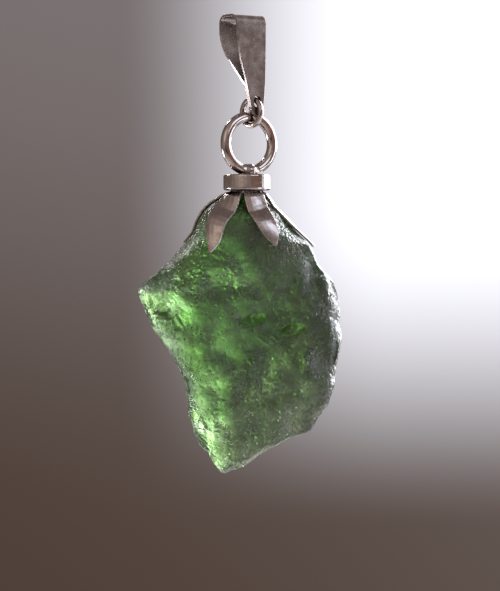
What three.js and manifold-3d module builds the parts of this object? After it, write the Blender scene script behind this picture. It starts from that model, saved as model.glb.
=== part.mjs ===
// Raw moldavite pendant: an etched green stone under a five-leaf silver cap, hung by a ring, a jump ring
// and a folded bail. Millimetres, +Z up, +X to the right and -Y to the front. The origin is the middle of
// the bail's tunnel.
import * as THREE from "three";
import { mergeVertices } from "three/addons/utils/BufferGeometryUtils.js";
import Module from "manifold-3d";

const wasm = await Module();
wasm.setup();

// Driving dimensions
const BAIL_TURN = THREE.MathUtils.degToRad(36); // about Z, so that the tunnel's left end is nearer
const STRIP = 0.2; // thickness of the bail's strip
const BAIL_FRONT = -1.22; // outer face of the front leaf, in the bail's own frame
const BAIL_BACK = 1.36;
const BAIL_TOP = 1.33;
const FOLD_RADIUS = 0.8;
const BAIL_TIP = new THREE.Vector2(0.54, -6.46); // middle of the rounded end
const BAIL_TIP_RADIUS = 0.61;
const EYE_HALF_WIDTH = 0.34; // the oblong hole for the jump ring
const EYE_TOP = -5.4;
const EYE_BOTTOM = -6.4;

const JUMP_TURN = THREE.MathUtils.degToRad(-46); // about Z, from +X to the jump ring's plane
const JUMP_CENTRE = new THREE.Vector3(0.675, -0.124, -6.79);
const JUMP_RADIUS = 1.1; // to the middle of the wire
const JUMP_WIRE = 0.24; // radius of the wire

const LOOP_TURN = THREE.MathUtils.degToRad(31);
const LOOP_CENTRE = new THREE.Vector3(0.446, -0.085, -9.4);
const LOOP_RADIUS = 2.25;
const LOOP_WIRE = 0.43;

const CAP_AXIS = new THREE.Vector2(0.27, -0.2); // X and Y of the cap's own axis
const COLLAR_TOP = -11.98;
const COLLAR_BOTTOM = -13.28;
const COLLAR_RADIUS = 1.95;
const HUB_RADIUS = 1.35;
const HUB_THICKNESS = 0.25;
const SEAM = 0.03; // the gap between pieces that are soldered or glued together

// Each leaf's bearing at its root and at its tip, in degrees from the front and + to the right
const LEAF_BEARINGS = [[-50, -46], [24, 44], [97, 91], [169, 172], [-116, -98]];
const LEAF_REACH = [95, 86, 88, 88, 84]; // degrees that each leaf runs down the stone from straight up
const LEAF_ROOT = 15; // degrees from straight up where the leaves join the hub
const LEAF_THICKNESS = 0.22;
const LEAF_HALF_WIDTH = 0.84;
const LEAF_GAP = 0.09; // from the leaf's inside to the stone
const DOME_DEPTH = 4.9; // how far under the collar the middle of the cap's dome lies

// The stone's edge as seen from the front, [X, Z], from the top and round by the left
const STONE_OUTLINE = [
  [-0.7, -13.7], [-1.55, -13.85], [-2.55, -14.35], [-3.25, -15.0], [-3.75, -15.85], [-4.05, -16.75],
  [-4.65, -17.4], [-5.1, -17.9], [-5.8, -18.7], [-6.5, -19.5], [-7.35, -20.2], [-8.5, -21.0],
  [-8.9, -21.7], [-8.5, -22.7], [-8.0, -23.8], [-7.5, -25.0], [-6.8, -25.9], [-6.15, -26.9],
  [-5.4, -28.05], [-4.85, -29.25], [-4.7, -30.6], [-4.7, -31.9], [-4.3, -32.8], [-4.1, -33.8],
  [-3.6, -34.6], [-2.85, -35.35], [-2.5, -36.0], [-1.85, -37.05], [-0.85, -36.6], [0.05, -36.35],
  [1.45, -35.3], [2.2, -34.75], [2.9, -34.6], [4.4, -33.8], [5.55, -33.4], [6.3, -32.25],
  [7.2, -30.95], [7.65, -29.4], [7.75, -27.95], [8.1, -26.4], [8.3, -25.3], [8.0, -24.3],
  [8.15, -23.55], [7.85, -21.9], [7.45, -20.7], [6.3, -19.4], [5.95, -18.55], [5.55, -17.8],
  [4.9, -17.2], [3.95, -16.25], [2.95, -15.2], [2.1, -14.35], [1.2, -13.7],
];
const STONE_MIDDLE = new THREE.Vector2(0.95, -25.75);
const STONE_HALF_DEPTH = 4.3;
const STONE_DOME = new THREE.Vector2(13, 17); // half width and half height of the dome under the breaks
const EDGE_ROUNDING = 1.6;
const EDGE_RISE = 0.62; // how fast the face rises inside the rounded edge
const RIM_POINTS = 136;
// Rings of points, as shares of the way out to the edge
const STONE_RINGS = [
  0.975, 0.935, 0.885, 0.83, 0.77, 0.705, 0.64, 0.575, 0.51, 0.445, 0.38, 0.315, 0.25, 0.18, 0.1,
];

// Flat breaks that cut each face: the face is `depth` deep on the line from `a` to `b`, and falls by
// `fall` a millimetre on the side that lies to the left as one goes from `a` to `b`
const SHOULDER_BREAK = { a: [-8.2, -16], b: [9, -15.4], depth: 2.3, fall: 1.05 };
const FRONT_BREAKS = [
  SHOULDER_BREAK,
  { a: [-9.2, -23.4], b: [-0.6, -13.5], depth: 3.1, fall: 0.62 }, // upper left shoulder
  { a: [5.9, -17], b: [6.2, -34.5], depth: 3.2, fall: 1.15 }, // right margin
  { a: [-0.6, -36.6], b: [-4.7, -28.2], depth: 1.7, fall: 0.75 }, // light band at the lower left
  { a: [-1.8, -36.4], b: [-3.9, -31.4], depth: 1.0, fall: 1.5 }, // bevel at the lower left edge
  { a: [-4.6, -28.4], b: [-7.0, -19.8], depth: 1.8, fall: 0.5 }, // thin left flange
  { a: [7.5, -31.2], b: [-1.5, -36.9], depth: 1.1, fall: 0.1 }, // lower right edge
];
const BACK_BREAKS = [
  SHOULDER_BREAK,
  { a: [1.6, -13.5], b: [9.4, -25.4], depth: 2.7, fall: 0.55 },
  { a: [-2.6, -36.6], b: [-8.6, -21.5], depth: 1.5, fall: 0.62 },
  { a: [7.2, -28.6], b: [-2.4, -37.2], depth: 1.6, fall: 0.4 },
  { a: [-8.4, -22.4], b: [-0.4, -13.4], depth: 2.3, fall: 0.7 },
];
// Etched pits and troughs: middle, half length and half width, degrees from +X, depth
const FRONT_PITS = [
  { at: [0.75, -24.1], size: [1.15, 0.5], turn: 16, depth: 0.65 },
  { at: [3.95, -24.85], size: [1.45, 0.5], turn: 12, depth: 0.6 },
  { at: [-6.9, -23.35], size: [0.85, 0.6], turn: -25, depth: 0.5 },
  { at: [-5.3, -24.4], size: [1.2, 0.8], turn: -30, depth: 0.45 },
  { at: [-7.75, -22.5], size: [0.35, 1.1], turn: 22, depth: 0.4 },
  { at: [-1.4, -27.0], size: [1.6, 0.6], turn: -8, depth: 0.45 },
  { at: [-2.2, -29.8], size: [1.5, 0.55], turn: -14, depth: 0.45 },
  { at: [-3.2, -32.6], size: [0.4, 1.3], turn: 26, depth: 0.3 },
  { at: [3.6, -21.4], size: [1.3, 0.7], turn: 60, depth: 0.55 },
  { at: [5.9, -21.0], size: [0.7, 1.2], turn: 15, depth: 0.5 },
  { at: [6.5, -27.0], size: [0.7, 1.0], turn: -10, depth: 0.45 },
  { at: [-2.6, -21.6], size: [1.4, 0.7], turn: 40, depth: 0.45 },
  { at: [2.6, -30.6], size: [1.6, 0.7], turn: 30, depth: 0.35 },
];
const BACK_PITS = [
  { at: [-1.5, -20.5], size: [1.6, 0.7], turn: 35, depth: 0.6 },
  { at: [2.8, -23.0], size: [1.3, 0.9], turn: -20, depth: 0.65 },
  { at: [-3.6, -25.2], size: [1.7, 0.6], turn: 10, depth: 0.5 },
  { at: [1.2, -28.6], size: [2.0, 0.8], turn: 24, depth: 0.6 },
  { at: [4.7, -30.2], size: [1.0, 0.7], turn: 50, depth: 0.45 },
  { at: [-1.9, -32.8], size: [1.2, 0.5], turn: -35, depth: 0.4 },
];
// Raised ribs on the front, laid out as the pits are
const FRONT_RIBS = [
  { at: [1.85, -26.0], size: [1.0, 0.22], turn: -38, depth: 0.28 },
  { at: [2.55, -25.7], size: [1.0, 0.22], turn: -38, depth: 0.3 },
  { at: [3.2, -25.35], size: [0.9, 0.22], turn: -38, depth: 0.26 },
  { at: [-5.3, -23.6], size: [0.9, 0.28], turn: -50, depth: 0.4 },
  { at: [0.5, -27.4], size: [0.9, 0.26], turn: -58, depth: 0.3 },
  { at: [5.1, -27.4], size: [0.7, 0.24], turn: -62, depth: 0.28 },
];

const SILVER = { color: 0xb9b1ab, metalness: 1, roughness: 0.28 };
const STONE_GREEN = { color: 0x3f6b2c, metalness: 0, roughness: 0.35 };

// Solids

// A closed geometry as a solid that can be joined and cut.
function solidFrom(geometry) {
  const bare = geometry.clone();
  bare.deleteAttribute("normal");
  bare.deleteAttribute("uv");
  const merged = mergeVertices(bare, 1e-4);
  return new wasm.Manifold(
    new wasm.Mesh({
      numProp: 3,
      vertProperties: merged.attributes.position.array,
      triVerts: new Uint32Array(merged.index.array),
    }),
  );
}

function geometryFrom(solid) {
  const mesh = solid.getMesh();
  const geometry = new THREE.BufferGeometry();
  geometry.setAttribute("position", new THREE.BufferAttribute(mesh.vertProperties, 3));
  geometry.setIndex(new THREE.BufferAttribute(mesh.triVerts, 1));
  return geometry;
}

function piece(name, geometry, finish) {
  const flat = geometry.index ? geometry.toNonIndexed() : geometry;
  flat.computeVertexNormals();
  const mesh = new THREE.Mesh(flat, new THREE.MeshStandardMaterial({ ...finish, flatShading: true }));
  mesh.name = name;
  return mesh;
}

// A ring of round wire, standing upright in a plane turned about Z.
function wireRing(radius, wire, centre, turn, aroundRing, aroundWire) {
  const ring = new THREE.TorusGeometry(radius, wire, aroundWire, aroundRing);
  ring.rotateX(Math.PI / 2);
  ring.rotateZ(turn);
  ring.translate(centre.x, centre.y, centre.z);
  return ring;
}

// The stone

const stoneEdge = STONE_OUTLINE.map(([x, z]) => new THREE.Vector2(x, z));

// How far the edge lies from the stone's middle in the direction of `angle`.
function edgeDistance(angle) {
  const way = new THREE.Vector2(Math.cos(angle), Math.sin(angle));
  for (let i = 0; i < stoneEdge.length; i++) {
    const a = stoneEdge[i].clone().sub(STONE_MIDDLE);
    const b = stoneEdge[(i + 1) % stoneEdge.length].clone().sub(STONE_MIDDLE);
    const fromA = way.cross(a);
    const fromB = way.cross(b);
    if (fromA * fromB > 0 || fromA === fromB) continue;
    const hit = a.lerp(b, fromA / (fromA - fromB));
    if (hit.dot(way) > 0) return hit.length();
  }
  return 0;
}

// How far a point lies in from the nearest stretch of the edge.
function distanceToEdge(x, z) {
  const p = new THREE.Vector3(x, z, 0);
  const nearest = new THREE.Vector3();
  const stretch = new THREE.Line3();
  let least = Infinity;
  stoneEdge.forEach((a, i) => {
    const b = stoneEdge[(i + 1) % stoneEdge.length];
    stretch.start.set(a.x, a.y, 0);
    stretch.end.set(b.x, b.y, 0);
    stretch.closestPointToPoint(p, true, nearest);
    least = Math.min(least, nearest.distanceTo(p));
  });
  return least;
}

// Soft minimum, which rounds the ridge between two faces over about `blend`.
function softMin(a, b, blend) {
  const h = THREE.MathUtils.clamp(0.5 + (0.5 * (b - a)) / blend, 0, 1);
  return b + (a - b) * h - blend * h * (1 - h);
}

function breakDepth(x, z, { a, b, depth, fall }) {
  const along = new THREE.Vector2(b[0] - a[0], b[1] - a[1]).normalize();
  const aside = along.x * (z - a[1]) - along.y * (x - a[0]);
  return depth - fall * aside;
}

// An elliptical dimple or rib of height 1 at its middle.
function bump(x, z, { at, size, turn }) {
  const t = THREE.MathUtils.degToRad(turn);
  const dx = x - at[0];
  const dz = z - at[1];
  const u = (dx * Math.cos(t) + dz * Math.sin(t)) / size[0];
  const v = (dz * Math.cos(t) - dx * Math.sin(t)) / size[1];
  return Math.exp(-1.4 * (u * u + v * v));
}

// The slow lumps of etched glass, -1 to 1, from waves that cross at odd angles.
function lumps(x, z, size, shift) {
  const waves = [
    [1, 0.3], [-0.4, 1.1], [0.8, -0.9], [1.4, 0.7],
  ];
  const k = (2 * Math.PI) / size;
  let sum = 0;
  waves.forEach(([wx, wz], i) => {
    sum += Math.sin(k * (wx * x + wz * z) + shift * (i + 1) + 1.3 * Math.sin((k * (wz * x - wx * z)) / 2.3));
  });
  return sum / waves.length;
}

// Smooth under the cap, rough below it.
function roughness(z) {
  return THREE.MathUtils.smoothstep(-z, 17.5, 20);
}

function halfDepth(x, z, breaks, pits, ribs, shift) {
  const dx = x - STONE_MIDDLE.x;
  const dz = z - STONE_MIDDLE.y;
  const inward = distanceToEdge(x, z);
  const round = Math.min(1, inward / EDGE_ROUNDING);
  const dome = 1 - 0.5 * ((dx / STONE_DOME.x) ** 2 + (dz / STONE_DOME.y) ** 2);
  const bluff = EDGE_ROUNDING * Math.sqrt(round * (2 - round)) + EDGE_RISE * inward;
  let depth = softMin(STONE_HALF_DEPTH * dome, bluff, 1.2);
  for (const flat of breaks) depth = softMin(depth, breakDepth(x, z, flat), 0.7);
  const inside = THREE.MathUtils.smoothstep(inward, 0, 0.5) ** 0.5;
  const rough = inside * roughness(z);
  depth = Math.max(depth, 0.4 * inside);
  depth += rough * (0.24 * lumps(x, z, 3.6, shift) + 0.08 * lumps(x, z, 1.6, 2 * shift));
  for (const pit of pits) depth -= inside * pit.depth * bump(x, z, pit);
  for (const rib of ribs) depth += inside * rib.depth * bump(x, z, rib);
  return Math.max(depth, 0.12 * inside);
}

// The stone's middle sheet isn't flat, so its edge wanders to the front and to the back.
function middleSheet(x, z) {
  return roughness(z) * (0.45 * Math.sin(0.42 * x + 0.3) + 0.3 * Math.sin(0.5 * z + 0.9) - 0.45);
}

const stoneFront = (x, z) => middleSheet(x, z) - halfDepth(x, z, FRONT_BREAKS, FRONT_PITS, FRONT_RIBS, 0.7);
const stoneBack = (x, z) => middleSheet(x, z) + halfDepth(x, z, BACK_BREAKS, BACK_PITS, [], 2.9);

// The triangles between two closed rows of points, which may differ in number.
function stitch(outer, inner, triangle) {
  let i = 0;
  let j = 0;
  while (i < outer.length || (j < inner.length && inner.length > 1)) {
    const a = outer[i % outer.length];
    const b = inner[j % inner.length];
    if (inner.length === 1 || (i + 0.5) * inner.length <= (j + 0.5) * outer.length) {
      i += 1;
      triangle(a, outer[i % outer.length], b);
    } else {
      j += 1;
      triangle(a, inner[j % inner.length], b);
    }
  }
}

function moldaviteStone() {
  const edge = new THREE.Shape(stoneEdge);
  edge.closePath();
  const placeOf = (share, k, count, surface) => {
    const out = edge.getPointAt(k / count);
    const x = THREE.MathUtils.lerp(STONE_MIDDLE.x, out.x, share);
    const z = THREE.MathUtils.lerp(STONE_MIDDLE.y, out.y, share);
    return new THREE.Vector3(x, surface(x, z), z);
  };
  const places = [];
  const faces = [];
  for (let k = 0; k < RIM_POINTS; k++) places.push(placeOf(1, k, RIM_POINTS, middleSheet));
  const rim = places.map((_, k) => k);
  for (const side of [-1, 1]) {
    const surface = side < 0 ? stoneFront : stoneBack;
    const triangle = (a, b, c) => faces.push(side < 0 ? [a, b, c] : [c, b, a]);
    let outer = rim;
    for (const share of [...STONE_RINGS, 0]) {
      const count = share ? Math.round(RIM_POINTS * Math.min(1, share * 1.08)) : 1;
      const inner = [];
      for (let k = 0; k < count; k++) {
        inner.push(places.length);
        places.push(placeOf(share, k, count, surface));
      }
      stitch(outer, inner, triangle);
      outer = inner;
    }
  }
  return { places, faces };
}

// A closed surface from its corners and triangles.
function closedSurface({ places, faces }) {
  const geometry = new THREE.BufferGeometry().setFromPoints(places);
  geometry.setIndex(faces.flat());
  return geometry;
}

// The five-leaf cap

const domeMiddle = new THREE.Vector3(CAP_AXIS.x, CAP_AXIS.y, COLLAR_BOTTOM - DOME_DEPTH);

function insideStone(p) {
  const dx = p.x - STONE_MIDDLE.x;
  const dz = p.z - STONE_MIDDLE.y;
  if (Math.hypot(dx, dz) >= edgeDistance(Math.atan2(dz, dx))) return false;
  return p.y > stoneFront(p.x, p.z) && p.y < stoneBack(p.x, p.z);
}

// The direction from the dome's middle at `bearing` from the front and `down` from straight up.
function domeWay(bearing, down) {
  return new THREE.Vector3(
    Math.sin(bearing) * Math.sin(down),
    -Math.cos(bearing) * Math.sin(down),
    Math.cos(down),
  );
}

// How far the stone's surface lies from the dome's middle in that direction.
function domeDistance(way) {
  let near = 0;
  let far = 12;
  for (let i = 0; i < 30; i++) {
    const half = (near + far) / 2;
    if (insideStone(domeMiddle.clone().addScaledVector(way, half))) near = half;
    else far = half;
  }
  return near;
}

// A leaf's half width along its length, 0 at the hub to 1 at its tip.
function leafHalfWidth(along) {
  const swell = 0.84 + 0.16 * Math.sin(Math.PI * Math.min(1, along / 0.9));
  const point = Math.pow(1 - Math.pow(along, 4), 0.9);
  return LEAF_HALF_WIDTH * swell * Math.max(point, 0.1);
}

// One leaf: a sheet that follows the stone from the hub to its own tip.
function capLeaf([rootBearing, tipBearing], reach) {
  const steps = 12;
  const across = 4;
  const hubHeight = DOME_DEPTH - SEAM - HUB_THICKNESS;
  const places = [];
  for (let i = 0; i <= steps; i++) {
    const along = i / steps;
    const down = THREE.MathUtils.degToRad(THREE.MathUtils.lerp(LEAF_ROOT, reach, along));
    const bearing = THREE.MathUtils.degToRad(THREE.MathUtils.lerp(rootBearing, tipBearing, along));
    for (let j = 0; j <= across; j++) {
      const reachOut = Math.max(1.2, domeDistance(domeWay(bearing, down)) * Math.sin(down));
      const aside = (leafHalfWidth(along) * (2 * j - across)) / across / reachOut;
      const way = domeWay(bearing + aside, down);
      const onStone = domeDistance(way) + LEAF_GAP;
      const underHub = hubHeight / Math.cos(Math.min(down, 1.2));
      const fromHub = THREE.MathUtils.lerp(underHub, onStone, Math.min(1, along / 0.2));
      const inner = Math.max(onStone, fromHub);
      for (const distance of [inner, inner + LEAF_THICKNESS]) {
        places.push(domeMiddle.clone().addScaledVector(way, distance));
      }
    }
  }
  const at = (i, j, outer) => 2 * (i * (across + 1) + j) + outer;
  const faces = [];
  const quad = (a, b, c, d) => faces.push([a, b, c], [a, c, d]);
  for (let i = 0; i < steps; i++) {
    for (let j = 0; j < across; j++) {
      quad(at(i, j, 1), at(i + 1, j, 1), at(i + 1, j + 1, 1), at(i, j + 1, 1));
      quad(at(i, j, 0), at(i, j + 1, 0), at(i + 1, j + 1, 0), at(i + 1, j, 0));
    }
    quad(at(i, 0, 0), at(i + 1, 0, 0), at(i + 1, 0, 1), at(i, 0, 1));
    quad(at(i, across, 1), at(i + 1, across, 1), at(i + 1, across, 0), at(i, across, 0));
  }
  for (let j = 0; j < across; j++) {
    quad(at(0, j, 0), at(0, j, 1), at(0, j + 1, 1), at(0, j + 1, 0));
    quad(at(steps, j, 1), at(steps, j, 0), at(steps, j + 1, 0), at(steps, j + 1, 1));
  }
  return solidFrom(closedSurface({ places, faces }));
}

function leafCap() {
  const hub = new THREE.CylinderGeometry(HUB_RADIUS, HUB_RADIUS, HUB_THICKNESS, 32);
  hub.rotateX(Math.PI / 2);
  hub.translate(CAP_AXIS.x, CAP_AXIS.y, COLLAR_BOTTOM - SEAM - HUB_THICKNESS / 2);
  let cap = solidFrom(hub);
  LEAF_BEARINGS.forEach((bearings, i) => {
    cap = cap.add(capLeaf(bearings, LEAF_REACH[i]));
  });
  return geometryFrom(cap);
}

// The collar: a short turned band with softened edges, grooved on top where the ring is soldered in
function capCollar() {
  const soft = 0.1;
  const profile = [
    [0, COLLAR_BOTTOM], [COLLAR_RADIUS - soft, COLLAR_BOTTOM], [COLLAR_RADIUS, COLLAR_BOTTOM + soft],
    [COLLAR_RADIUS, COLLAR_TOP - soft], [COLLAR_RADIUS - soft, COLLAR_TOP], [0, COLLAR_TOP],
  ];
  const band = new THREE.LatheGeometry(profile.map(([r, z]) => new THREE.Vector2(r, z)), 36);
  band.rotateX(Math.PI / 2);
  band.translate(CAP_AXIS.x, CAP_AXIS.y, 0);
  const groove = wireRing(LOOP_RADIUS, LOOP_WIRE + SEAM, LOOP_CENTRE, LOOP_TURN, 40, 12);
  return geometryFrom(solidFrom(band).subtract(solidFrom(groove)));
}

// The bail: one strip folded over a tunnel, its two ends run together and pierced for the jump ring

function bailSide() {
  const side = new THREE.Shape();
  const lowest = BAIL_TIP.y - 2;
  side.moveTo(BAIL_FRONT, lowest);
  side.lineTo(BAIL_FRONT + 2 * STRIP, lowest);
  side.lineTo(BAIL_FRONT + 2 * STRIP, -4.75);
  side.splineThru([
    new THREE.Vector2(-0.5, -4.2), new THREE.Vector2(0.15, -3.2), new THREE.Vector2(0.88, -2.15),
    new THREE.Vector2(1.26, -1.3), new THREE.Vector2(BAIL_BACK, -0.4), new THREE.Vector2(BAIL_BACK, 0.53),
  ]);
  side.absarc(BAIL_BACK - FOLD_RADIUS, BAIL_TOP - FOLD_RADIUS, FOLD_RADIUS, 0, Math.PI / 2);
  side.absarc(BAIL_FRONT + FOLD_RADIUS, BAIL_TOP - FOLD_RADIUS, FOLD_RADIUS, Math.PI / 2, Math.PI);
  const tunnel = new THREE.Path();
  const innerFront = BAIL_FRONT + STRIP;
  const innerRadius = FOLD_RADIUS - STRIP;
  tunnel.moveTo(innerFront, -4.5);
  tunnel.lineTo(innerFront, BAIL_TOP - FOLD_RADIUS);
  tunnel.absarc(BAIL_FRONT + FOLD_RADIUS, BAIL_TOP - FOLD_RADIUS, innerRadius, Math.PI, Math.PI / 2, true);
  tunnel.absarc(BAIL_BACK - FOLD_RADIUS, BAIL_TOP - FOLD_RADIUS, innerRadius, Math.PI / 2, 0, true);
  tunnel.splineThru([
    new THREE.Vector2(BAIL_BACK - STRIP, -0.4), new THREE.Vector2(1.07, -1.25),
    new THREE.Vector2(0.71, -2.03), new THREE.Vector2(-0.01, -3.07),
    new THREE.Vector2(-0.66, -4.05), new THREE.Vector2(innerFront, -4.5),
  ]);
  side.holes.push(tunnel);
  return side;
}

function bailFace() {
  const face = new THREE.Shape();
  face.moveTo(-1.56, BAIL_TOP + 0.2);
  face.lineTo(-1.5, -0.3);
  face.lineTo(-1.12, -2.4);
  face.lineTo(-0.5, -4.5);
  face.lineTo(BAIL_TIP.x - BAIL_TIP_RADIUS, BAIL_TIP.y + 0.1);
  face.absarc(BAIL_TIP.x, BAIL_TIP.y, BAIL_TIP_RADIUS, Math.PI, 2 * Math.PI);
  face.lineTo(1.33, -4.5);
  face.lineTo(1.4, -2.4);
  face.lineTo(1.43, BAIL_TOP + 0.2);
  return face;
}

function bailEye() {
  const eye = new THREE.Shape();
  const half = EYE_HALF_WIDTH;
  eye.absarc(BAIL_TIP.x, EYE_TOP - half, half, 0, Math.PI);
  eye.absarc(BAIL_TIP.x, EYE_BOTTOM + half, half, Math.PI, 2 * Math.PI);
  return eye;
}

// A shape drawn in X and Z, as a block that runs through the bail from front to back.
function throughBail(shape) {
  const block = new THREE.ExtrudeGeometry(shape, { depth: 6, bevelEnabled: false, curveSegments: 10 });
  block.rotateX(Math.PI / 2);
  block.translate(0, 3, 0);
  return solidFrom(block);
}

function bail() {
  const side = new THREE.ExtrudeGeometry(bailSide(), { depth: 4, bevelEnabled: false, curveSegments: 8 });
  side.rotateX(Math.PI / 2);
  side.rotateZ(Math.PI / 2);
  side.translate(-2, 0, 0);
  const folded = solidFrom(side).intersect(throughBail(bailFace()));
  const pierced = geometryFrom(folded.subtract(throughBail(bailEye())));
  pierced.rotateZ(BAIL_TURN);
  return pierced;
}

const pendant = new THREE.Group();
pendant.add(
  piece("moldavite_stone", closedSurface(moldaviteStone()), STONE_GREEN),
  piece("leaf_cap", leafCap(), SILVER),
  piece("cap_collar", capCollar(), SILVER),
  piece("hanging_ring", wireRing(LOOP_RADIUS, LOOP_WIRE, LOOP_CENTRE, LOOP_TURN, 40, 12), SILVER),
  piece("jump_ring", wireRing(JUMP_RADIUS, JUMP_WIRE, JUMP_CENTRE, JUMP_TURN, 28, 10), SILVER),
  piece("bail", bail(), SILVER),
);

export default pendant;
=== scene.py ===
import math

import bmesh
import bpy
import numpy as np
from mathutils import Matrix, Vector, noise


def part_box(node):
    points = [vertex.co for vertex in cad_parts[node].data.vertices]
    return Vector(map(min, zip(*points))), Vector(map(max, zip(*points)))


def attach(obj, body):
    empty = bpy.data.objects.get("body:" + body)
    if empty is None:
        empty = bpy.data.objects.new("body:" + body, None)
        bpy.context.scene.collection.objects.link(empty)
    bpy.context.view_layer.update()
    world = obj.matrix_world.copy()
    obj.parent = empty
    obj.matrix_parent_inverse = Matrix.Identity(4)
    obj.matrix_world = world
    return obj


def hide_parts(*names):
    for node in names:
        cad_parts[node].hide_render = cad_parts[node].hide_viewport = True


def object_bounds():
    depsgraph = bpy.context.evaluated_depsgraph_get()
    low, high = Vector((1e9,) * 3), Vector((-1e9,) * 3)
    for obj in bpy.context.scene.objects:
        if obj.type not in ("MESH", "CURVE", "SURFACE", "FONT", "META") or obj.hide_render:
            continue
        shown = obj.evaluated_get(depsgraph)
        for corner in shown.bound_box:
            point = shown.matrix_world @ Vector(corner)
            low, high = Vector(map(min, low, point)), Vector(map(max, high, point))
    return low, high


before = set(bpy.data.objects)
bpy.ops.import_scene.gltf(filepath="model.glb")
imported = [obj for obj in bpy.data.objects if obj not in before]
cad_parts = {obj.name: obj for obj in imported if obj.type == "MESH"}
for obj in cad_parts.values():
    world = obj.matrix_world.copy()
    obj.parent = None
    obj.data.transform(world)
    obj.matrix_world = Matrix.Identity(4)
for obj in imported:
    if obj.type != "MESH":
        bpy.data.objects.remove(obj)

cad_low, cad_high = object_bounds()

# The pendant as it is shown
# It hangs free against a soft studio background, seen level and from the front, with the main light
# behind it on the right so that the glass glows. The floor is plain and pale and lies well below.

EYE_DISTANCE = 0.25
PICTURE_HEIGHT = 0.04925  # what the picture takes in at the pendant
PICTURE_CENTRE = (0.00054, -0.02204)  # X and Z
SENSOR = 36.0  # the width of the camera's film, in its own mm


def linear(hex_colour):
    """An sRGB hex colour as Blender's linear red, green, blue and alpha."""
    shares = [int(hex_colour[i : i + 2], 16) / 255 for i in (1, 3, 5)]
    return (*[s / 12.92 if s <= 0.04045 else ((s + 0.055) / 1.055) ** 2.4 for s in shares], 1.0)


def add_node(tree, kind, links=None, **settings):
    """Adds a node. settings set its options or, by name with _ for a space, its sockets' values."""
    node = tree.nodes.new(kind)
    for name, value in settings.items():
        if hasattr(node, name):
            setattr(node, name, value)
        else:
            node.inputs[name.replace("_", " ")].default_value = value
    for name, source in (links or {}).items():
        tree.links.new(source, node.inputs[name])
    return node


def place(thing):
    """Puts a new object into the scene."""
    bpy.context.scene.collection.objects.link(thing)
    return thing


camera_data = bpy.data.cameras.new("camera")
camera_data.sensor_width = SENSOR
camera_data.lens = SENSOR * EYE_DISTANCE / PICTURE_HEIGHT
camera_data.clip_start = 0.01
camera = place(bpy.data.objects.new("camera", camera_data))
camera.location = (PICTURE_CENTRE[0], -EYE_DISTANCE, PICTURE_CENTRE[1])
camera.rotation_euler = (math.radians(90), 0, 0)
bpy.context.scene.camera = camera
bpy.context.scene.view_settings.view_transform = "Standard"


BACKDROP_TINT = "#6f6460"
# Tint, direction, and the distances from it on a unit ball where the tint is full and where it ends
BACKDROP_PATCHES = [
    ("#a89a93", (-0.5, -1, 0.5), 0.3, 1.1),
    ("#2a201a", (-0.1, -1, -0.55), 0.2, 0.7),
    ("#a8623c", (0.8, -0.8, -0.3), 0.1, 0.45),
    ("#4e3f37", (-0.3, 1, -0.4), 0.3, 0.62),
    ("#7b7373", (-0.03, 1, 0.23), 0.1, 0.3),
]
PANEL_TINT = "#f3f3fb"
PANEL_STRENGTH = 1.3
# The bright panel's soft edges: the share of the direction along X, Y or Z where it starts and is full
PANEL_EDGES = [("X", -0.045, 0.05), ("Y", -0.25, 0.15), ("Z", -0.078, 0.035), ("Z", 0.75, 0.5)]


def light_background():
    """A soft, warm and dim backdrop all round, with a bright panel at the back on the right."""
    world = bpy.data.worlds.new("soft studio")
    world.use_nodes = True
    tree = world.node_tree
    tree.nodes.clear()
    direction = add_node(tree, "ShaderNodeTexCoord").outputs["Generated"]
    colour = add_node(tree, "ShaderNodeRGB").outputs[0]
    colour.default_value = linear(BACKDROP_TINT)
    for tint, towards, inner, outer in BACKDROP_PATCHES:
        apart = add_node(tree, "ShaderNodeVectorMath", {0: direction}, operation="DISTANCE")
        apart.inputs[1].default_value = Vector(towards).normalized()
        share = add_node(
            tree, "ShaderNodeMapRange", {"Value": apart.outputs["Value"]}, interpolation_type="SMOOTHSTEP",
            From_Min=inner, From_Max=outer, To_Min=1.0, To_Max=0.0,
        )
        mix = add_node(tree, "ShaderNodeMix", {"Factor": share.outputs[0], 6: colour}, data_type="RGBA")
        mix.inputs[7].default_value = linear(tint)
        colour = mix.outputs[2]
    parts = add_node(tree, "ShaderNodeSeparateXYZ", {"Vector": direction})
    panel = None
    for axis, start, full in PANEL_EDGES:
        edge = add_node(
            tree, "ShaderNodeMapRange", {"Value": parts.outputs[axis]}, interpolation_type="SMOOTHSTEP",
            From_Min=start, From_Max=full,
        ).outputs[0]
        if panel is None:
            panel = edge
        else:
            panel = add_node(tree, "ShaderNodeMath", {0: panel, 1: edge}, operation="MULTIPLY").outputs[0]
    mix = add_node(tree, "ShaderNodeMix", {"Factor": panel, 6: colour}, data_type="RGBA")
    mix.inputs[7].default_value = [PANEL_STRENGTH * share for share in linear(PANEL_TINT)[:3]] + [1]
    shade = add_node(tree, "ShaderNodeBackground", {"Color": mix.outputs[2]}, Strength=1.0)
    add_node(tree, "ShaderNodeOutputWorld", {"Surface": shade.outputs[0]})
    bpy.context.scene.world = world


light_background()


# Name, place, width and height in metres, watts and tint
LAMPS = [
    ("main light", (0.16, 0.18, 0.065), (0.16, 0.18), 1.0, "#f4f6ff"),
    ("front fill", (-0.14, -0.3, 0.12), (0.2, 0.2), 0.05, "#ffe9da"),
    ("low left light", (-0.23, 0.06, -0.1), (0.08, 0.06), 0.22, "#f6f6ff"),
    ("right side light", (0.24, 0.06, -0.02), (0.08, 0.14), 0.14, "#f8f6ff"),
    ("upper right light", (0.17, -0.17, 0.12), (0.15, 0.13), 0.11, "#e3ebff"),
    ("lower right light", (0.23, -0.08, -0.1), (0.08, 0.12), 0.09, "#e6eeff"),
    ("small lamp behind", (-0.13, 0.17, 0.14), (0.03, 0.03), 0.08, "#ffffff"),
]


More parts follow.
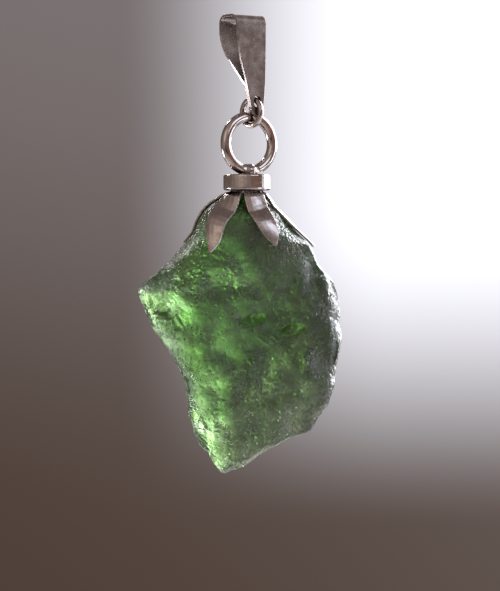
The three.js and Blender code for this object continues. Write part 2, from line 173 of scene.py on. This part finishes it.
def soft_light(name, place_at, size, power, tint):
    """A lamp that points at the middle of the picture and isn't seen itself."""
    data = bpy.data.lights.new(name, "AREA")
    data.shape = "RECTANGLE"
    data.size = size[0]
    data.size_y = size[1]
    data.energy = power
    data.color = linear(tint)[:3]
    lamp = place(bpy.data.objects.new(name, data))
    lamp.location = place_at
    aim = Vector((0, 0, PICTURE_CENTRE[1])) - Vector(place_at)
    lamp.rotation_euler = aim.to_track_quat("-Z", "Y").to_euler()
    lamp.visible_camera = False


for lamp_values in LAMPS:
    soft_light(*lamp_values)

FLOOR_DROP = 0.13  # below the pendant's tip
FLOOR_RADIUS = 0.5
FLOOR_TINT = "#dcd9d6"
FLOOR_ROUGHNESS = 0.7


def studio_floor():
    """Painted board. It is matt, so it throws back a soft even light and shows no reflection."""
    build = bmesh.new()
    bmesh.ops.create_circle(build, cap_ends=True, segments=96, radius=FLOOR_RADIUS)
    mesh = bpy.data.meshes.new("floor")
    build.to_mesh(mesh)
    build.free()
    floor = place(bpy.data.objects.new("floor", mesh))
    floor.location.z = cad_low.z - FLOOR_DROP
    material = bpy.data.materials.new("pale matt floor")
    material.use_nodes = True
    surface = material.node_tree.nodes["Principled BSDF"]
    surface.inputs["Base Color"].default_value = linear(FLOOR_TINT)
    surface.inputs["Roughness"].default_value = FLOOR_ROUGHNESS
    mesh.materials.append(material)


studio_floor()

# The moldavite
# A piece of natural green glass, thrown as a drop and etched in the ground for millions of years. Its
# faces are flat breaks with rounded edges, all over cut with cups, grooves and fine sharp pits.

MILLIMETRE = 0.001
WELD = 0.0005  # corners closer than this, in mm, are one
STONE_VOXEL = 0.09
STONE_EASE = 3  # rounds of smoothing after the remesh
FACING = (0.1, 0.5)  # the Y share of a face's direction where it starts to be front or back, and is
STONE_RELIEF = [  # size of the cells and depth of the cut, in mm
    (1.3, 0.11),
    (0.55, 0.07),
    (0.27, 0.07),
]
CELL_SEED = 5  # how the cells wander; without it they would be others in each run
CELL_SHIFT = (3.1, 5.7)  # where in the noise the widest cells lie, and how much further on each finer size
CELL_STRETCH = 1.35  # how much wider than high a cell is
CELL_BEND = (0.45, 0.8)  # how far a cell's outline wanders, and how often, both in cells
CELL_WALL = 0.75  # how far from its edge a cell reaches its full depth
PATCHES = (2.6, 4.0)  # size in mm and seed of the patches that are cut deeper or less deep
PATCH_STRENGTH = (0.75, 0.6)  # a patch's middle strength and how far it varies
BACK_CALM = 0.4  # how much less the back is cut
CALM_SPOT = (0.4, -24.5, 4.2, 3.6)  # middle X and Z and half width and height of the front's smoother middle
CALM_SHARE = (0.35, 0.15)  # how much less it is cut, and how much less again for each finer size of cell
SWELLS = (3.2, 9.0)  # size in mm and seed of wide shallow hollows
SWELL_DEPTH = 0.1
RIB_SHARE = 0.5  # the part of a rib's height that stands above the face
CAP_SHADE = (-17.3, -19.2)  # Z in mm where the relief starts under the cap and where it is full
SIDE_WAVES = (2.4, 13.0)  # size in mm and seed
SIDE_WAVE = 0.9  # how far the stone's narrow sides wander to the front and back
SIDE_FACING = (-0.8, -0.2)  # minus the Y share where a face starts to wander, and fully does
# The front leans back along the right edge: middle X and Z of its round, radii where it starts and ends,
# and depth. It fades out towards the left, and towards the stone's middle plane.
SIDE_BEVEL = (-1.5, -25.5, 6.8, 10.0, 0.9)
BEVEL_LEFT_END = (2.0, 4.5)
BEVEL_BACK_END = (-0.5, 1.5)
FORM_SLOPE = (0.25, 1.25)  # shares of a form's size where its slope starts and ends
# Crisp forms on the front face: middle X and Z, half length, half width, degrees, depth (ribs are below 0)
STONE_FORMS = [
    (0.75, -24.1, 1.0, 0.42, 16, 0.75),
    (3.95, -24.85, 1.25, 0.36, 12, 0.65),
    (1.75, -25.9, 0.95, 0.1, -38, -0.16),
    (2.15, -25.75, 1.0, 0.1, -38, -0.18),
    (2.6, -25.55, 0.9, 0.1, -38, -0.16),
    (3.0, -25.35, 0.8, 0.1, -38, -0.14),
    (-5.45, -24.15, 0.75, 0.14, -50, -0.22),
    (-7.75, -22.6, 0.16, 0.95, 20, 0.28),
    (-6.9, -23.3, 0.55, 0.35, -20, 0.28),
    (-6.1, -22.9, 1.5, 1.0, -25, 0.5),
    (0.45, -27.4, 0.8, 0.12, -58, -0.16),
    (5.1, -27.4, 0.6, 0.11, -62, -0.16),
    (-3.35, -32.4, 0.14, 0.8, 24, 0.2),
]


def worked_copy(node):
    """A new mesh that starts as a copy of a CAD node's, in millimetres and with its corners joined."""
    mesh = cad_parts[node].data.copy()
    mesh.transform(Matrix.Scale(1 / MILLIMETRE, 4))
    mesh.materials.clear()
    build = bmesh.new()
    build.from_mesh(mesh)
    bmesh.ops.remove_doubles(build, verts=build.verts, dist=WELD)
    build.to_mesh(mesh)
    build.free()
    return mesh


def apply_modifiers(piece):
    """Makes what a piece's modifiers give its own mesh."""
    graph = bpy.context.evaluated_depsgraph_get()
    mesh = bpy.data.meshes.new_from_object(piece.evaluated_get(graph))
    piece.modifiers.clear()
    piece.data = mesh


def corners_of(mesh):
    """A mesh's corners, one row of X, Y and Z each."""
    flat = np.empty(len(mesh.vertices) * 3, np.float32)
    mesh.vertices.foreach_get("co", flat)
    return flat.reshape(-1, 3).astype(float)


def set_corners(mesh, corners):
    """Moves a mesh's corners to new places, given as corners_of gives them."""
    mesh.vertices.foreach_set("co", corners.astype(np.float32).ravel())
    mesh.update()


def in_metres(piece, node):
    """Turns a worked piece back to metres, inside its CAD node's box, and smooths its shading."""
    low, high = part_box(node)
    corners = corners_of(piece.data) * MILLIMETRE
    set_corners(piece.data, np.clip(corners, np.array(low), np.array(high)))
    for face in piece.data.polygons:
        face.use_smooth = True


def smoothstep(value, start, end):
    """0 before start and 1 after end, with a soft rise between them."""
    share = np.clip((value - start) / (end - start), 0, 1)
    return share * share * (3 - 2 * share)


def cups(points, size, seed):
    """0 on the ridges to 1 at the bottoms of etched cups about size across."""
    depth = np.empty(len(points))
    stretch = Vector((1.0, 1.0, CELL_STRETCH))
    shift = Vector((seed, 2.3 * seed, -seed))
    for i, point in enumerate(points):
        at = Vector(point) / size
        at += CELL_BEND[0] * noise.noise_vector(at * CELL_BEND[1] + shift)
        near = noise.voronoi(Vector(a * b for a, b in zip(at, stretch)) + shift)[0]
        depth[i] = near[1] - near[0]
    return smoothstep(depth, 0.0, CELL_WALL)


def slow_noise(points, size, seed):
    """Smooth values from about -1 to 1 that change over about size."""
    shift = Vector((seed, -seed, 1.7 * seed))
    return np.array([noise.noise(Vector(p) / size + shift) for p in points])


def form_height(x, z, form):
    """1 at the middle of an oval form on the front face, falling to 0 at its edge."""
    at_x, at_z, length, width, degrees, _ = form
    turn = math.radians(degrees)
    along = ((x - at_x) * math.cos(turn) + (z - at_z) * math.sin(turn)) / length
    aside = ((z - at_z) * math.cos(turn) - (x - at_x) * math.sin(turn)) / width
    return 1 - smoothstep(np.hypot(along, aside), *FORM_SLOPE)


def fill_box(corners, node):
    """Stretches a rounded shape a little, so that it reaches the ends of its CAD node's box again."""
    low, high = (np.array(corner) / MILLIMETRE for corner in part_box(node))
    start = corners.min(axis=0)
    return low + (corners - start) * (high - low) / (corners.max(axis=0) - start)


def etched_stone():
    """The CAD stone rounded, then cut inwards along its faces' directions by cells, hollows and forms."""
    piece = place(bpy.data.objects.new("etched_moldavite", worked_copy("moldavite_stone")))
    piece.modifiers.new("round", "SUBSURF").levels = 2
    skin = piece.modifiers.new("skin", "REMESH")
    skin.mode = "VOXEL"
    skin.voxel_size = STONE_VOXEL
    ease = piece.modifiers.new("ease", "SMOOTH")
    ease.factor = 0.5
    ease.iterations = STONE_EASE
    apply_modifiers(piece)
    mesh = piece.data
    corners = fill_box(corners_of(mesh), "moldavite_stone")
    set_corners(mesh, corners)
    normals = np.array([v.normal[:] for v in mesh.vertices])
    x, y, z = corners.T
    front = smoothstep(-normals[:, 1], *FACING)
    back = smoothstep(normals[:, 1], *FACING)
    open_air = smoothstep(-z, -CAP_SHADE[0], -CAP_SHADE[1])
    calm_x, calm_z, calm_width, calm_height = CALM_SPOT
    calm = np.exp(-(((x - calm_x) / calm_width) ** 2) - ((z - calm_z) / calm_height) ** 2) * front
    patchy = PATCH_STRENGTH[0] + PATCH_STRENGTH[1] * slow_noise(corners, *PATCHES)
    patchy *= 1 - BACK_CALM * back
    cut = np.zeros(len(corners))
    noise.seed_set(CELL_SEED)
    for step, (size, depth) in enumerate(STONE_RELIEF):
        strength = patchy * (1 - (CALM_SHARE[0] + CALM_SHARE[1] * step) * calm)
        cut += depth * strength * cups(corners, size, CELL_SHIFT[0] + CELL_SHIFT[1] * step)
    cut += SWELL_DEPTH * (0.5 + 0.5 * slow_noise(corners, *SWELLS))
    for form in STONE_FORMS:
        cut += front * form[5] * form_height(x, z, form)
    cut = np.where(cut < 0, RIB_SHARE * cut, cut) * open_air
    corners -= normals * cut[:, None]
    wander = SIDE_WAVE * slow_noise(corners, *SIDE_WAVES)
    corners[:, 1] += wander * smoothstep(-np.abs(normals[:, 1]), *SIDE_FACING)
    bevel_x, bevel_z, inner, outer, bevel_depth = SIDE_BEVEL
    side = smoothstep(np.hypot(x - bevel_x, z - bevel_z), inner, outer)
    side = bevel_depth * side * smoothstep(x, *BEVEL_LEFT_END)
    corners[:, 1] += side * open_air * smoothstep(-y, *BEVEL_BACK_END)
    set_corners(mesh, corners)
    in_metres(piece, "moldavite_stone")
    return piece


# Streaks of the melt: size in mm, lean in degrees, stretch, and the noise's share where each tint is reached
FLOW_SIZE = 4.0
FLOW_LEAN = 24
FLOW_STRETCH = 2.2
FLOW_TINTS = [(0.38, "#84a068"), (0.6, "#f2f8e6")]
DARK_CLOUD = (-5.5, 0.5, -23.8)  # the middle of a darker cloud in the left wing, in mm
DARK_REACH = (1.2, 3.6)  # where it starts to fade and where it ends
DARK_TINT = "#647e50"
FROST_SIZE = 1.6  # mm between more and less frosted patches
FROST_ROUGHNESS = (0.2, 0.42)
GRAIN_SIZE = 0.35
# Sharp little pits: spacing and radius in mm, and share of the etching's depth. The real ones go down to a
# few hundredths of a millimetre, which is too fine to show, so the smallest are drawn at a quarter.
ETCH_PITS = [(0.24, 0.07, 0.9), (0.6, 0.16, 1.2)]
ETCH_DEPTH = 0.1
PIT_POLISH = 0.35  # a pit's floor has this share of the roughness round it
GLINT_SIZE = 0.2
GLINT_DEPTH = 0.12
GLINT_ROUGHNESS = 0.04
FROST_SHEEN = 0.35
FROST_SHEEN_ROUGHNESS = 0.35
FROST_TINT = "#eef4ea"
GLASS_IOR = 1.49
GLASS_DEPTH_TINT = "#bbdc9c"  # what the glass lets through as it gets thicker
GLASS_DENSITY = 600.0  # per metre


def moldavite_glass():
    """Tektite glass, etched matt. IOR 1.49; the green deepens with depth, and pits break up the gloss."""
    material = bpy.data.materials.new("etched moldavite glass")
    material.use_nodes = True
    tree = material.node_tree
    surface = tree.nodes["Principled BSDF"]
    output = tree.nodes["Material Output"]
    where = add_node(tree, "ShaderNodeTexCoord").outputs["Object"]
    streaks = add_node(
        tree, "ShaderNodeMapping", {"Vector": where},
        Rotation=(0, math.radians(FLOW_LEAN), 0), Scale=(1.0, 1.0, FLOW_STRETCH),
    )
    flow = add_node(
        tree, "ShaderNodeTexNoise", {"Vector": streaks.outputs[0]},
        Scale=1 / (FLOW_SIZE * MILLIMETRE), Detail=5.0, Distortion=0.6,
    )
    tint = add_node(tree, "ShaderNodeValToRGB", {"Fac": flow.outputs["Fac"]})
    for stop, (position, colour) in zip(tint.color_ramp.elements, FLOW_TINTS):
        stop.position = position
        stop.color = linear(colour)
    apart = add_node(tree, "ShaderNodeVectorMath", {0: where}, operation="DISTANCE")
    apart.inputs[1].default_value = [MILLIMETRE * at for at in DARK_CLOUD]
    darker = add_node(
        tree, "ShaderNodeMapRange", {"Value": apart.outputs["Value"]}, interpolation_type="SMOOTHSTEP",
        From_Min=DARK_REACH[0] * MILLIMETRE, From_Max=DARK_REACH[1] * MILLIMETRE, To_Min=1.0, To_Max=0.0,
    )
    shaded = add_node(
        tree, "ShaderNodeMix", {"Factor": darker.outputs[0], 6: tint.outputs["Color"]}, data_type="RGBA"
    )
    shaded.inputs[7].default_value = linear(DARK_TINT)
    tree.links.new(shaded.outputs[2], surface.inputs["Base Color"])
    haze = add_node(
        tree, "ShaderNodeTexNoise", {"Vector": where}, Scale=1 / (FROST_SIZE * MILLIMETRE), Detail=4.0
    )
    frost = add_node(
        tree, "ShaderNodeMapRange", {"Value": haze.outputs["Fac"]},
        From_Min=0.35, From_Max=0.7, To_Min=FROST_ROUGHNESS[0], To_Max=FROST_ROUGHNESS[1],
    )
    matt = frost.outputs["Result"]
    grain = add_node(
        tree, "ShaderNodeTexNoise", {"Vector": where}, Scale=1 / (GRAIN_SIZE * MILLIMETRE), Detail=3.0
    )
    height = grain.outputs["Fac"]
    for spacing, radius, share in ETCH_PITS:
        pits = add_node(tree, "ShaderNodeTexVoronoi", {"Vector": where}, Scale=1 / (spacing * MILLIMETRE))
        wall = add_node(
            tree, "ShaderNodeMapRange", {"Value": pits.outputs["Distance"]}, interpolation_type="SMOOTHSTEP",
            From_Max=radius / spacing, To_Max=share,
        )
        wall = wall.outputs["Result"]
        height = add_node(tree, "ShaderNodeMath", {0: height, 1: wall}).outputs[0]
        polish = add_node(
            tree, "ShaderNodeMapRange", {"Value": wall}, From_Max=0.7 * share, To_Min=PIT_POLISH
        )
        matt = add_node(tree, "ShaderNodeMath", {0: matt, 1: polish.outputs[0]}, operation="MULTIPLY")
        matt = matt.outputs[0]
    tree.links.new(matt, surface.inputs["Roughness"])
    relief = add_node(
        tree, "ShaderNodeBump", {"Height": height}, Strength=1.0, Distance=ETCH_DEPTH * MILLIMETRE
    )
    tree.links.new(relief.outputs["Normal"], surface.inputs["Normal"])
    facets = add_node(tree, "ShaderNodeTexVoronoi", {"Vector": where}, Scale=1 / (GLINT_SIZE * MILLIMETRE))
    glints = add_node(
        tree, "ShaderNodeBump", {"Height": facets.outputs["Distance"], "Normal": relief.outputs["Normal"]},
        Strength=1.0, Distance=GLINT_DEPTH * MILLIMETRE,
    )
    tree.links.new(glints.outputs["Normal"], surface.inputs["Coat Normal"])
    surface.inputs["Sheen Weight"].default_value = FROST_SHEEN
    surface.inputs["Sheen Roughness"].default_value = FROST_SHEEN_ROUGHNESS
    surface.inputs["Sheen Tint"].default_value = linear(FROST_TINT)
    surface.inputs["Coat Weight"].default_value = 1.0
    surface.inputs["Coat Roughness"].default_value = GLINT_ROUGHNESS
    surface.inputs["IOR"].default_value = GLASS_IOR
    surface.inputs["Transmission Weight"].default_value = 1.0
    depth = add_node(tree, "ShaderNodeVolumeAbsorption", Density=GLASS_DENSITY)
    depth.inputs["Color"].default_value = linear(GLASS_DEPTH_TINT)
    tree.links.new(depth.outputs["Volume"], output.inputs["Volume"])
    return material


stone = etched_stone()
stone.data.materials.append(moldavite_glass())
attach(stone, "pendant")
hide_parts("moldavite_stone")

# The leaf cap
# Thin silver sheet, stamped as a five-leaf flower and bent down over the stone, where glue holds it. Its
# edges are softened by polishing, and its faces have gone a little dull and are marked by handling.

CAP_VOXEL = 0.045
CAP_EASE = 6
CAP_TINTS = ("#b9aeaa", "#cfc5c0")
CAP_ROUGHNESS = (0.2, 0.36)
# In mm. Real polishing scratches are some hundredths wide, too fine to show, so they are drawn coarser.
CAP_SCRATCHES = 0.25
STAIN_SIZE = 1.1
SCRATCH_DEPTH = 0.02
CORNER_REACH = 0.9  # how near another surface has to be for the painted corner shade to show
# Painted shade: the dark tint that the silver's corners and folds are darkened towards
PAINTED_SHADE_TINT = "#4a3d38"


def silver(name, tints, roughness, scratch_size, wear, corner=CORNER_REACH):
    """Polished or satin silver. It is a warm mirror, dulled by scratches, with painted shade darkening it in
    corners.
    """
    material = bpy.data.materials.new(name)
    material.use_nodes = True
    tree = material.node_tree
    surface = tree.nodes["Principled BSDF"]
    where = add_node(tree, "ShaderNodeTexCoord").outputs["Object"]
    cloud = add_node(
        tree, "ShaderNodeTexNoise", {"Vector": where}, Scale=1 / (STAIN_SIZE * MILLIMETRE), Detail=5.0
    )
    worn = add_node(
        tree, "ShaderNodeMapRange", {"Value": cloud.outputs["Fac"]}, From_Min=0.35, From_Max=0.62
    )
    stain = add_node(tree, "ShaderNodeMix", {"Factor": worn.outputs[0]}, data_type="RGBA")
    stain.inputs[6].default_value = linear(tints[0])
    stain.inputs[7].default_value = linear(tints[1])
    # Painted shade: ambient occlusion mixes the silver towards a dark tint in corners and folds, where shade
    # falls
    corners = add_node(tree, "ShaderNodeAmbientOcclusion", samples=8, Distance=corner * MILLIMETRE)
    out_of_shade = add_node(
        tree, "ShaderNodeMapRange", {"Value": corners.outputs["AO"]}, From_Min=0.25, From_Max=0.8
    )
    painted_shade = add_node(
        tree, "ShaderNodeMix", {"Factor": out_of_shade.outputs[0], 7: stain.outputs[2]}, data_type="RGBA"
    )
    painted_shade.inputs[6].default_value = linear(PAINTED_SHADE_TINT)
    tree.links.new(painted_shade.outputs[2], surface.inputs["Base Color"])
    scratches = add_node(
        tree, "ShaderNodeTexNoise", {"Vector": where}, Detail=3.0, Scale=1 / (scratch_size * MILLIMETRE)
    )
    gloss = add_node(
        tree, "ShaderNodeMapRange", {"Value": scratches.outputs["Fac"]},
        From_Min=0.3, From_Max=0.7, To_Min=roughness[0], To_Max=roughness[1],
    )
    tree.links.new(gloss.outputs["Result"], surface.inputs["Roughness"])
    marks = add_node(
        tree, "ShaderNodeBump", {"Height": scratches.outputs["Fac"]},
        Strength=wear, Distance=SCRATCH_DEPTH * MILLIMETRE,
    )
    tree.links.new(marks.outputs["Normal"], surface.inputs["Normal"])
    surface.inputs["Metallic"].default_value = 1.0
    return material


def softened(name, node, voxel, rounds):
    """A piece like its CAD node, with edges worn round."""
    piece = place(bpy.data.objects.new(name, worked_copy(node)))
    skin = piece.modifiers.new("skin", "REMESH")
    skin.mode = "VOXEL"
    skin.voxel_size = voxel
    ease = piece.modifiers.new("ease", "SMOOTH")
    ease.factor = 0.5
    ease.iterations = rounds
    apply_modifiers(piece)
    in_metres(piece, node)
    return piece


cap = softened("stamped_leaf_cap", "leaf_cap", CAP_VOXEL, CAP_EASE)
cap.data.materials.append(silver("stamped silver sheet", CAP_TINTS, CAP_ROUGHNESS, CAP_SCRATCHES, wear=0.3))
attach(cap, "pendant")
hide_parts("leaf_cap")

# The collar
# A short band of silver tube soldered on the leaves' hub. It is filled flat on top with solder, and its
# rims are rubbed round.

COLLAR_EASE = 4
COLLAR_TINTS = ("#c4b8b2", "#ddd4cf")
COLLAR_ROUGHNESS = (0.1, 0.22)
COLLAR_SCRATCHES = 0.2

collar = softened("soldered_collar", "cap_collar", CAP_VOXEL, COLLAR_EASE)
band = silver("polished silver band", COLLAR_TINTS, COLLAR_ROUGHNESS, COLLAR_SCRATCHES, wear=0.25)
collar.data.materials.append(band)
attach(collar, "pendant")
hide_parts("cap_collar")

# The rings
# Round silver wire bent to a ring. The large one is soldered shut and upright on the collar, and the
# small one is a loose link between it and the bail. Both are polished, with dents that bend the light.

# The wire's radius and the solder's thickness at the ring's foot in mm, and the turn about Z in degrees
LARGE_RING = {"node": "hanging_ring", "wire": 0.43, "turn": 31, "body": "pendant", "solder": 0.2}
SMALL_RING = {"node": "jump_ring", "wire": 0.24, "turn": -46, "body": "jump_ring", "solder": 0}
RING_STEPS = 128
WIRE_STEPS = 32
WIRE_DENT = 0.012
DENTS_PER_MM = 1.3
SOLDER_REACH = 0.4  # how far, in radians, the solder climbs from the ring's foot
SOLDER_LUMPS = 0.8  # how far its thickness varies
LUMPS_PER_MM = 3.5
WIRE_TINTS = ("#c0b2ac", "#d6ccc6")
WIRE_ROUGHNESS = (0.1, 0.22)
WIRE_SCRATCHES = 0.3


def wire_ring(name, ring, seed):
    """A ring of round wire in its CAD node's place, with shallow dents and with solder at its foot."""
    low, high = (Vector(corner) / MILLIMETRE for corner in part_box(ring["node"]))
    centre = (low + high) / 2
    wire = ring["wire"]
    radius = (high.z - low.z) / 2 - wire
    flat = Vector((math.cos(math.radians(ring["turn"])), math.sin(math.radians(ring["turn"])), 0))
    up = Vector((0, 0, 1))
    build = bmesh.new()
    rows = []
    for i in range(RING_STEPS):
        turn = 2 * math.pi * i / RING_STEPS
        out = flat * math.cos(turn) + up * math.sin(turn)
        foot = max(0, 1 - abs(turn - 1.5 * math.pi) / SOLDER_REACH)
        swell = ring["solder"] * foot * foot * (3 - 2 * foot)
        row = []
        for j in range(WIRE_STEPS):
            round_wire = 2 * math.pi * j / WIRE_STEPS
            way = out * math.cos(round_wire) + flat.cross(up) * math.sin(round_wire)
            at = centre + out * radius + way * wire
            dent = WIRE_DENT * (0.5 + 0.5 * noise.noise(at * DENTS_PER_MM + Vector((seed, 0, 0))))
            lumps = swell * (1 + SOLDER_LUMPS * noise.noise(at * LUMPS_PER_MM))
            row.append(build.verts.new(at + way * (lumps - dent)))
        rows.append(row)
    for i in range(RING_STEPS):
        for j in range(WIRE_STEPS):
            ahead = (i + 1) % RING_STEPS
            across = (j + 1) % WIRE_STEPS
            build.faces.new((rows[i][j], rows[ahead][j], rows[ahead][across], rows[i][across]))
    bmesh.ops.recalc_face_normals(build, faces=build.faces)
    mesh = bpy.data.meshes.new(name)
    build.to_mesh(mesh)
    build.free()
    piece = place(bpy.data.objects.new(name, mesh))
    in_metres(piece, ring["node"])
    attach(piece, ring["body"])
    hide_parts(ring["node"])
    return piece


bright_wire = silver("polished silver wire", WIRE_TINTS, WIRE_ROUGHNESS, WIRE_SCRATCHES, wear=0.15)
for name, ring, seed in (("soldered_ring", LARGE_RING, 2.0), ("small_link", SMALL_RING, 8.0)):
    wire_ring(name, ring, seed).data.materials.append(bright_wire)

# The bail
# One tapered strip of silver folded in two over the tunnel. Its broad faces are brushed to a satin, and
# its edges are polished bright.

BAIL_EDGE = 0.045
BAIL_FLAT = 0.5  # degrees within which CAD faces are one flat face
BAIL_SHARP = 40  # degrees from which an edge is rounded
BAIL_TINTS = ("#b8aba5", "#c6bbb5")
BAIL_ROUGHNESS = (0.2, 0.3)
BAIL_SCRATCHES = 0.6
# How near another surface has to be, in mm, for the painted corner shade to darken the bail's fold
BAIL_PAINTED_SHADE_REACH = 2.6


def folded_bail():
    """The CAD bail with its edges rounded and its broad faces kept flat."""
    piece = place(bpy.data.objects.new("folded_bail", worked_copy("bail")))
    build = bmesh.new()
    build.from_mesh(piece.data)
    flat_within = math.radians(BAIL_FLAT)
    bmesh.ops.dissolve_limit(build, angle_limit=flat_within, verts=build.verts, edges=build.edges)
    build.to_mesh(piece.data)
    build.free()
    edge = piece.modifiers.new("polished edge", "BEVEL")
    edge.width = BAIL_EDGE
    edge.segments = 3
    edge.limit_method = "ANGLE"
    edge.angle_limit = math.radians(BAIL_SHARP)
    flat = piece.modifiers.new("flat faces", "WEIGHTED_NORMAL")
    flat.keep_sharp = True
    for face in piece.data.polygons:
        face.use_smooth = True
    apply_modifiers(piece)
    in_metres(piece, "bail")
    return piece


bail = folded_bail()
strip = silver(
    "satin silver strip", BAIL_TINTS, BAIL_ROUGHNESS, BAIL_SCRATCHES, wear=0.06, corner=BAIL_PAINTED_SHADE_REACH
)
bail.data.materials.append(strip)
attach(bail, "bail")
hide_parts("bail")
